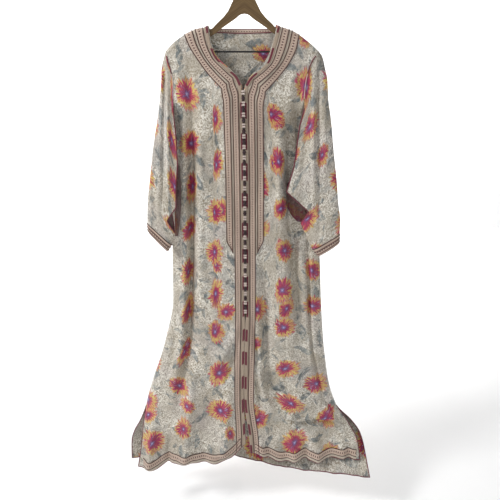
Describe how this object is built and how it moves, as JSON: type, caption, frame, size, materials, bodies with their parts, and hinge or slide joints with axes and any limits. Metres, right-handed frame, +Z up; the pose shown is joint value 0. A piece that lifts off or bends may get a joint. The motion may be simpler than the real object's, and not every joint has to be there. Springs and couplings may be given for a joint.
{
  "type": "kaftan and hanger",
  "caption": "Long kaftan of floral satin with woven trim, knotted front buttons and open cuffs, hung on a wooden hanger with a bar and a wire hook.",
  "frame": {"origin": "top of the inside of the hanger's hook, where it hangs", "axes": "+Z up; the front faces -Y; the wearer's right is at -X"},
  "size_m": [0.8315, 0.1392, 1.6197],
  "materials": {
    "satin": "ivory jacquard satin with a printed floral, soft sheen",
    "woven_band": "woven trim, pinkish beige with dark cords",
    "edge_braid": "two-colour braid, maroon and beige",
    "silk_cord": "twisted silk cord",
    "hanger_wood": "lacquered light wood",
    "hanger_bar": "black coated bar",
    "hanger_hook": "plain steel wire"
  },
  "bodies": {
    "root": {"hanger_wood": "hanger_wood", "hanger_bar": "hanger_bar", "hanger_hook": "hanger_hook", "back_panel": "satin", "hem_band_back": "woven_band", "back_neck_band": "woven_band", "front_panel_right": "satin", "sleeve_right": "satin", "front_edge_right": "edge_braid", "front_band_inner_right": "woven_band", "front_band_outer_right": "woven_band", "hem_band_right": "woven_band", "cuff_band_right": "woven_band", "armhole_cord_right": "silk_cord", "neck_edge_right": "woven_band", "neck_band_inner_right": "woven_band", "neck_band_outer_right": "woven_band", "front_panel_left": "satin", "sleeve_left": "satin", "front_edge_left": "edge_braid", "front_band_inner_left": "woven_band", "front_band_outer_left": "woven_band", "hem_band_left": "woven_band", "cuff_band_left": "woven_band", "armhole_cord_left": "silk_cord", "neck_edge_left": "woven_band", "neck_band_inner_left": "woven_band", "neck_band_outer_left": "woven_band", "button_01": "silk_cord", "button_02": "silk_cord", "button_03": "silk_cord", "button_04": "silk_cord", "button_05": "silk_cord", "button_06": "silk_cord", "button_07": "silk_cord", "button_08": "silk_cord", "button_09": "silk_cord", "button_10": "silk_cord", "button_11": "silk_cord", "button_12": "silk_cord", "button_13": "silk_cord", "button_14": "silk_cord", "button_15": "silk_cord", "button_16": "silk_cord", "button_17": "silk_cord", "button_18": "silk_cord", "button_19": "silk_cord", "button_20": "silk_cord", "button_21": "silk_cord", "button_22": "silk_cord"}
  },
  "joints": []
}
